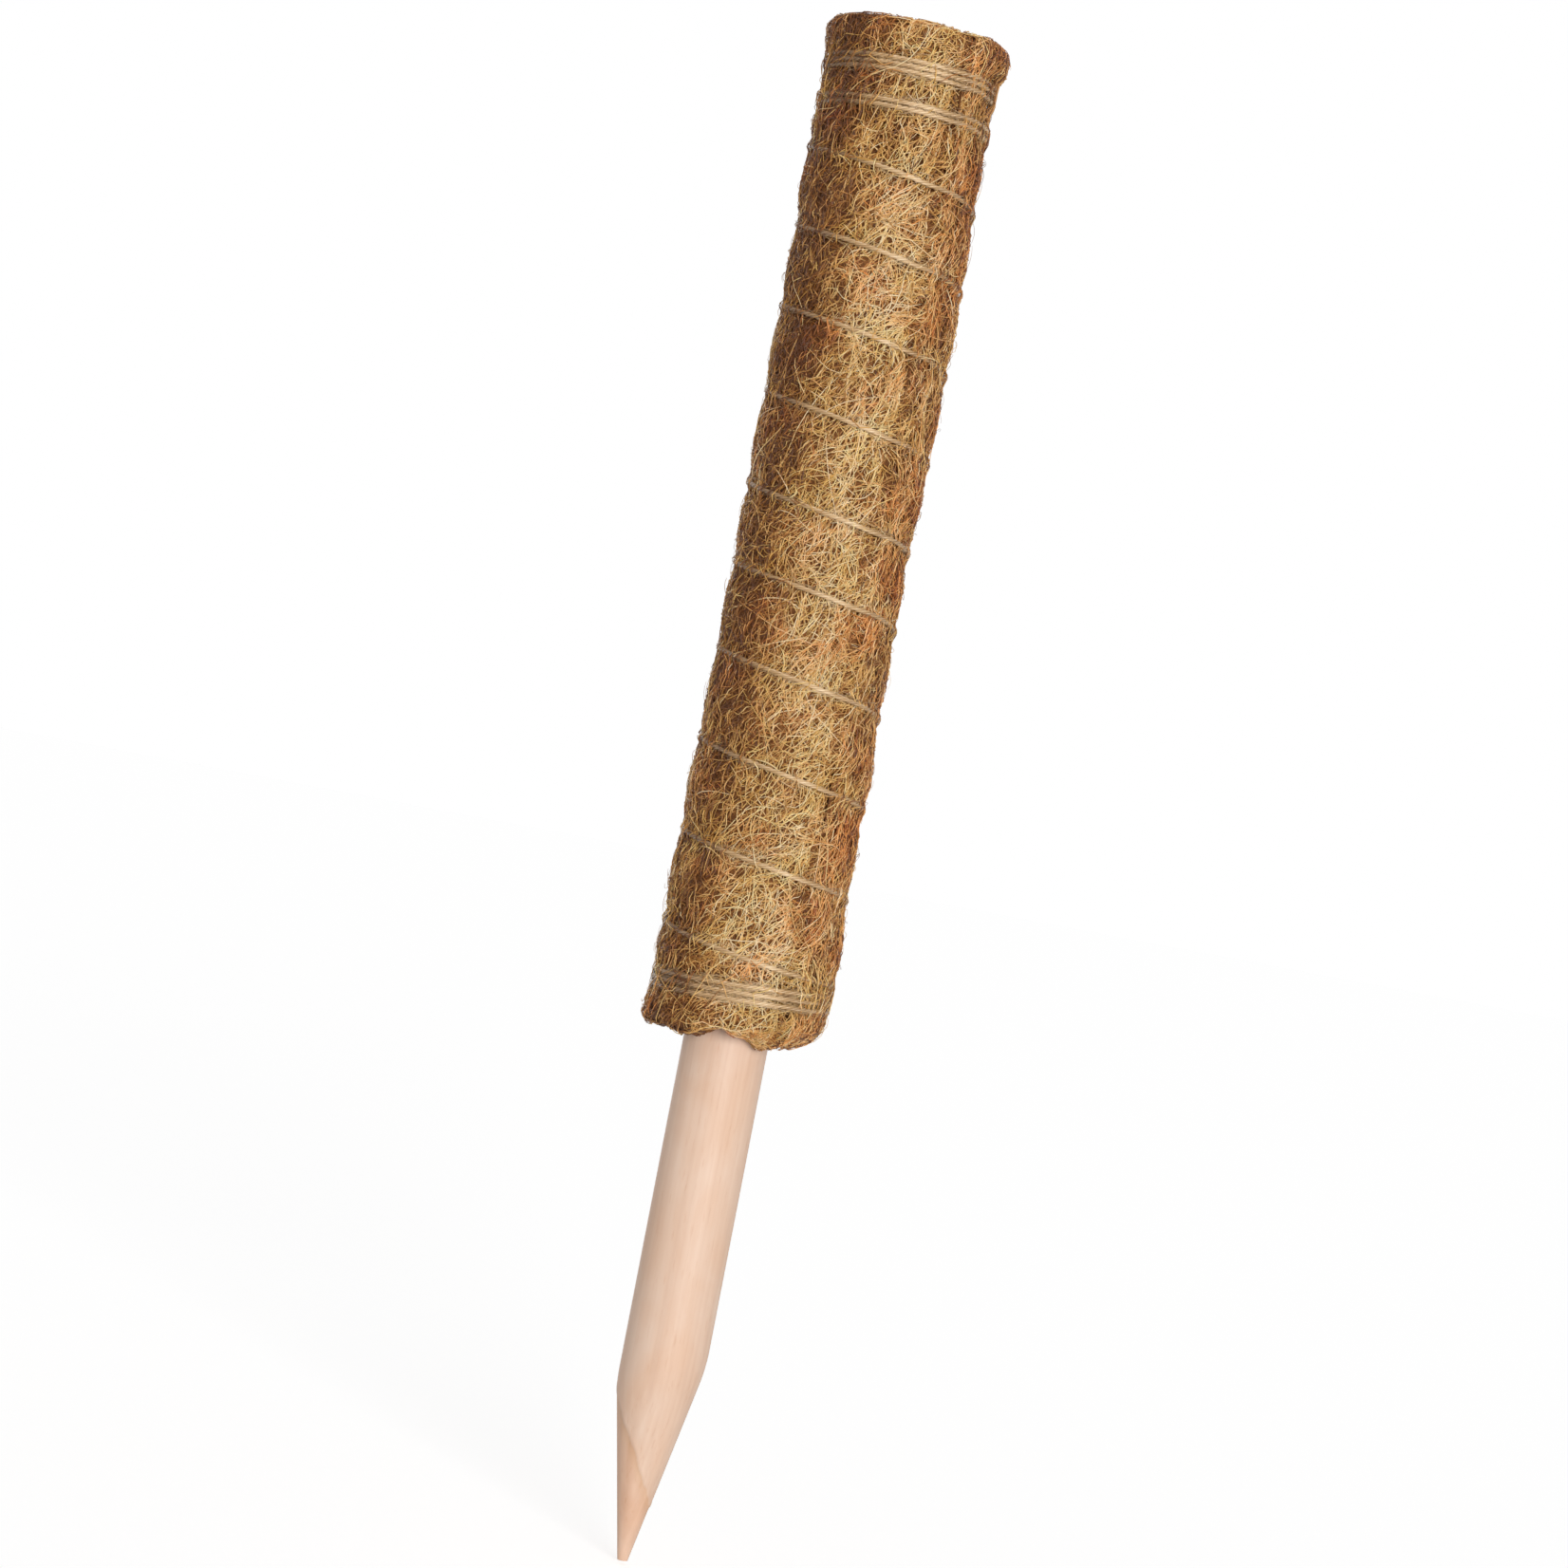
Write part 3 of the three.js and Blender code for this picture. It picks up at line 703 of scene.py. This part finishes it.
def end_fibres(count, upper):
    """Cut fibres on an end of the roll: most lie along the mat's turns, and some stick out."""
    each, steps = (count, 1), 6
    part_way = np.linspace(-0.5, 0.5, steps)
    step = rng.uniform(0.5, mat_steps - 0.5, count)
    inside, thickness = mat_layer(step)
    stub = rng.uniform(size=each) < 0.3
    turned = np.where(stub, rng.uniform(0, math.tau, each), 0.25 * rng.normal(size=each))
    length = np.where(stub, rng.uniform(0.001, 0.003, each), rng.uniform(0.004, 0.012, each))
    radius = (inside + thickness * rng.uniform(0.15, 0.85, count))[:, None]
    radius = radius + 0.4 * length * part_way * np.sin(turned)
    azimuth = (seam + (mat_steps - step) * math.tau / turn_steps)[:, None]
    azimuth = azimuth + length * part_way * np.cos(turned) / radius
    rise = rng.uniform(-0.0004, 0.0003, each) - 0.0007 * (2 * part_way) ** 4
    rise = rise + np.where(stub, 0.0009, 0) * (part_way + 0.5)
    inward = edge_lift(azimuth, radius, upper) + 0.0003 - rise
    lines = round_roll(radius, azimuth, roll_length - inward if upper else inward)
    widths = rng.uniform(0.00010, 0.00018, each) * (1 - 0.6 * (2 * np.abs(part_way)) ** 3)
    tones = 0.42 + 0.17 * rng.normal(size=each)
    tones = tones + mat_tone_and_painted_light(azimuth, np.full(np.shape(azimuth), roll_length))
    return lines, widths, steps_between(tones), 0.5 + 0.2 * rng.normal(size=count)


def stray_fibres(count):
    """Fine loose fibres that stand off the roll's face."""
    each, steps = (count, 1), 6
    part_way = np.linspace(0, 1, steps)
    azimuth, z = rng.uniform(0, math.tau, count), rng.uniform(0.001, roll_length - 0.001, count)
    length, heading = rng.uniform(0.003, 0.009, count), rng.uniform(0, math.tau, count)
    across, up = wander(length, steps, heading, 1.2)
    azimuth = azimuth[:, None] + across / mean_radius
    z = np.clip(z[:, None] + up, 0.0004, roll_length - 0.0004)
    height = rng.uniform(0.0002, 0.0013, each) * np.sin(math.pi * part_way * rng.uniform(0.55, 1, each))
    lines = round_roll(face_radius(azimuth, z) + height, azimuth, z)
    widths = rng.uniform(0.00005, 0.00009, each) * (1 - 0.5 * part_way**2)
    tones = 0.62 + 0.18 * rng.normal(size=each) + mat_tone_and_painted_light(azimuth, z)
    return lines, widths, steps_between(tones), 0.4 + 0.2 * rng.normal(size=count)


at_seam = (seam - 0.22, seam + 0.17)
# Deeper layers and the fibres in the seam's crack have darker tones: painted shade in the depth of the mat.
groups = {
    "deep": face_fibres(8500, 5, (0.005, 0.013), (-0.00055, -0.00015), (0.00012, 0.00020), 0.38),
    "middle": face_fibres(13000, 5, (0.004, 0.010), (-0.00025, 0.00010), (0.00010, 0.00017), 0.56),
    "outer": face_fibres(9500, 5, (0.003, 0.009), (-0.00005, 0.00026), (0.00009, 0.00015), 0.68),
    "seam": face_fibres(1400, 5, (0.004, 0.010), (-0.0012, -0.0003), (0.00011, 0.00017), 0.44, at_seam),
    "long": face_fibres(900, 9, (0.012, 0.036), (0.00000, 0.00028), (0.00009, 0.00014), 0.80),
    "upper_end": end_fibres(2600, True),
    "lower_end": end_fibres(2600, False),
    "stray": stray_fibres(1500),
}
coir_fibre = fibre_finish()
for group, made in groups.items():
    pieces = math.ceil(len(made[0]) / most_in_a_piece)
    for number, part in enumerate(np.array_split(np.arange(len(made[0])), pieces), 1):
        lines, widths, tones, hues = (values[part] for values in made)
        name = f"coir_{group}_fibres_{number}"
        strands(name, lines, widths, fibre_sides, tones, hues, coir_fibre)

# Binding thread
# One glossy nylon twine of three loosely twisted plies, wound round the roll from its upper end down.
# It is laid in close turns at both ends and in an open helix between them, pulled tight into the coir.
ply_count, ply_sides = 3, 6
ply_radius, ply_offset = 0.00033, 0.00034
lay_length = 0.0055
above_groove = 0.0007


def twine_finish():
    """Pale shiny twine, with darker tones for its painted shade and paler ones for its painted highlight,
    and one ply duller than the next.
    """
    made, tree, bsdf = shader("thread_twine", Roughness=0.35, Specular_IOR_Level=0.8)
    across, up = charted(tree)
    shaded_twine = colour(124, 92, 62), colour(164, 130, 90), colour(195, 159, 111)
    lit_twine = colour(220, 187, 142), colour(243, 217, 178)
    twine = ramp(tree, up, *zip((0.0, 0.25, 0.5, 0.75, 1.0), shaded_twine + lit_twine))
    dulled = ramp(tree, across, (0.0, colour(242, 236, 226)), (1.0, white))
    tree.links.new(multiply(tree, twine, dulled), bsdf.inputs["Base Color"])
    return made


def twine_painted_light(azimuth):
    """The twine's tone round the roll: painted shade left of the front, a painted highlight just right of
    it, and darker again further right.
    """
    places = (-120, -75, -49, -35, -22, 0, 10, 21, 30, 44, 56, 100)
    tones = (0.5, 0.15, 0.07, 0.16, 0.45, 0.56, 0.74, 0.87, 0.64, 0.36, 0.40, 0.42)
    return np.interp(from_front(azimuth), places, tones)


def gone_along(line):
    """How far along a line each of its points is."""
    return np.r_[0, np.cumsum(np.linalg.norm(np.diff(line, axis=0), axis=1))]


def even_steps(line, pace):
    """The same line with its points this far apart."""
    gone = gone_along(line)
    marks = np.linspace(0, gone[-1], max(2, round(gone[-1] / pace)))
    return np.stack([np.interp(marks, gone, way) for way in line.T], 1)


def lengths_of_one(vectors):
    return vectors / np.linalg.norm(vectors, axis=1, keepdims=True)


def twisted(name, line, outward, stands_for):
    """A twine of three plies that twist round a line of points."""
    along = lengths_of_one(np.gradient(line, axis=0))
    across = lengths_of_one(np.cross(outward, along))
    outward = np.cross(along, across)
    gone = gone_along(line)
    plies = []
    for start in np.arange(ply_count) * math.tau / ply_count:
        turn = (math.tau * gone / lay_length + start)[:, None]
        plies.append(line + ply_offset * (np.cos(turn) * outward + np.sin(turn) * across))
    worn = 0.05 * np.sin(gone * 400) * np.sin(gone * 173)
    # The plies take the twine's painted shade and highlight, with random wear along them.
    tone = (twine_painted_light(np.arctan2(line[:, 1], line[:, 0])) + worn)[1:]
    tones, hues = np.stack([tone, tone - 0.04, tone + 0.03]), np.array([0.9, 0.3, 0.6])
    widths = np.full((ply_count, len(line)), ply_radius)
    strands(name, plies, widths, ply_sides, tones, hues, thread_twine, stands_for)


thread_twine = twine_finish()
turns = np.linspace(-0.5, last_pass + 0.5, 180 * len(passes))
azimuth = -math.pi / 2 + math.tau * turns
z = twine_height(turns)
wound = even_steps(round_roll(wound_radius(azimuth, z) + above_groove, azimuth, z), 0.0006)
twisted("binding_twine", wound, wound * (1, 1, 0), ["binding_thread"])

# Twine hairs
# Fine pale hairs that stand out of the twine all along it, spun in with its plies.
# They lie along the strand and soften its edges, and some have worked out onto the coir beside it.
count, steps = 5200, 5
each = count, 1
part_way = np.linspace(-0.5, 0.5, steps)

# More than half of them are in the close turns at both ends.
shares = (0, 0.36, 0.38, 0.70, 0.72, 1)
upper_turns, lower_turns = (-0.45, helix_start - 0.6), (helix_end + 0.5, last_pass + 0.45)
middle = np.interp(rng.uniform(size=each), shares, (*upper_turns, helix_start, helix_end, *lower_turns))
turns = middle + rng.uniform(0.003, 0.008, each) * part_way / (math.tau * mean_radius)
azimuth = -math.pi / 2 + math.tau * turns
loose = rng.uniform(size=each) < 0.5
spread = np.where(loose, 0.0004 + 0.0010 * rng.normal(size=each), 0.00045 * rng.normal(size=each))
z = twine_height(turns) + spread + 0.0011 * rng.normal(size=each) * part_way
clear = np.where(loose, 0.0002 + 0.25 * np.abs(spread), above_groove + 0.0001)
clear = clear + rng.uniform(-0.0001, 0.0004, each) + 0.0007 * rng.normal(size=each) * part_way**2
lines = round_roll(wound_radius(azimuth, z) + clear, azimuth, z)
widths = rng.uniform(0.00004, 0.00009, each) * (1 - part_way**2)
# The hairs take the twine's painted shade and highlight, a little paler.
tones = steps_between(twine_painted_light(azimuth) + 0.05 + 0.15 * rng.normal(size=each))
hues = rng.uniform(0, 1, count)
strands("twine_hairs", lines, widths, fibre_sides, tones, hues, thread_twine)

# Knots
# An overhand knot in each end of the twine, of the twine itself, with a short cut tail.
# Each is drawn up flat against the back of the roll, just past the last turn.
knot_size = 0.00075
tail_length, tail_dip = 0.006, 0.0005
for knot_node, end, before in (("upper_knot", wound[0], wound[3]), ("lower_knot", wound[-1], wound[-4])):
    low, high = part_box(knot_node)
    middle = np.array((low + high) / 2)
    outward = middle * (1, 1, 0) / np.linalg.norm(middle[:2])
    along = end - before - outward * np.dot(end - before, outward)
    along /= np.linalg.norm(along)
    across = np.cross(outward, along)
    angle = np.linspace(0, math.tau, 150, endpoint=False) + math.pi
    forward, aside = np.sin(angle) + 2 * np.sin(2 * angle), np.cos(angle) - 2 * np.cos(2 * angle)
    loop = np.stack([forward, aside, -np.sin(3 * angle)], 1)
    knot = middle + knot_size * loop @ np.stack([along, across, outward])
    tail = np.linspace(0.0004, tail_length, 16)[:, None] * (0.8 * along + 0.35 * across)
    tail = knot[-1] + tail - np.linspace(0, tail_dip, 16)[:, None] * outward
    twisted(knot_node + "_twine", even_steps(np.r_[knot, tail], 0.0004), outward, [knot_node])

# Floor, light and backdrop
# A pale studio floor under the tip, that keeps a faint shadow, and a white room all round.
# A large soft light shines from the front right, and a weaker, softer one from behind.
floor_size, floor_gap = 8, 0.001
floor_glow, room_light = 0.52, 0.35
lights = {"key_light": (2.42, 24, (0.28, -0.92, 0.12)), "back_light": (1.1, 40, (-0.35, 0.90, 0.15))}


def to_the_eye(tree):
    """1 for what the camera sees directly, in a gloss or through glass, and 0 for what lights the pole."""
    rays = node(tree, "LightPath")
    shown = rays.outputs["Is Camera Ray"]
    for other in ("Is Glossy Ray", "Is Transmission Ray"):
        either = node(tree, "Math")
        either.operation = "MAXIMUM"
        tree.links.new(shown, either.inputs[0])
        tree.links.new(rays.outputs[other], either.inputs[1])
        shown = either.outputs[0]
    return shown


def floor_finish():
    """Matt and pale, and brighter to the eye than to the pole."""
    made, tree, bsdf = shader("pale_floor", Roughness=0.9, Specular_IOR_Level=0.0)
    bsdf.inputs["Base Color"].default_value = (0.93, 0.93, 0.93, 1)
    bsdf.inputs["Emission Color"].default_value = white
    glow = node(tree, "MapRange", To_Max=floor_glow)
    tree.links.new(to_the_eye(tree), glow.inputs["Value"])
    tree.links.new(glow.outputs[0], bsdf.inputs["Emission Strength"])
    return made


shape = bmesh.new()
under_tip = Matrix.Translation((0, 0, tip_z - floor_gap))
bmesh.ops.create_grid(shape, x_segments=1, y_segments=1, size=floor_size, matrix=under_tip)
floor = bpy.data.objects.new("floor", to_mesh(shape, "floor"))
floor.data.materials.append(floor_finish())
scene.collection.objects.link(floor)
floor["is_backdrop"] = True

for name, (energy, width, source) in lights.items():
    light = bpy.data.objects.new(name, bpy.data.lights.new(name, "SUN"))
    light.data.energy, light.data.angle = energy, math.radians(width)
    light.rotation_euler = Vector(source).to_track_quat("Z", "Y").to_euler()
    scene.collection.objects.link(light)

scene.world = bpy.data.worlds.new("white_room")
scene.world.use_nodes = True
tree = scene.world.node_tree
room = tree.nodes["Background"]
room.inputs["Color"].default_value = white
level = node(tree, "MapRange", To_Min=room_light)
tree.links.new(to_the_eye(tree), level.inputs["Value"])
tree.links.new(level.outputs[0], room.inputs["Strength"])

# Size
# The dressed pole's box.
low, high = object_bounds()
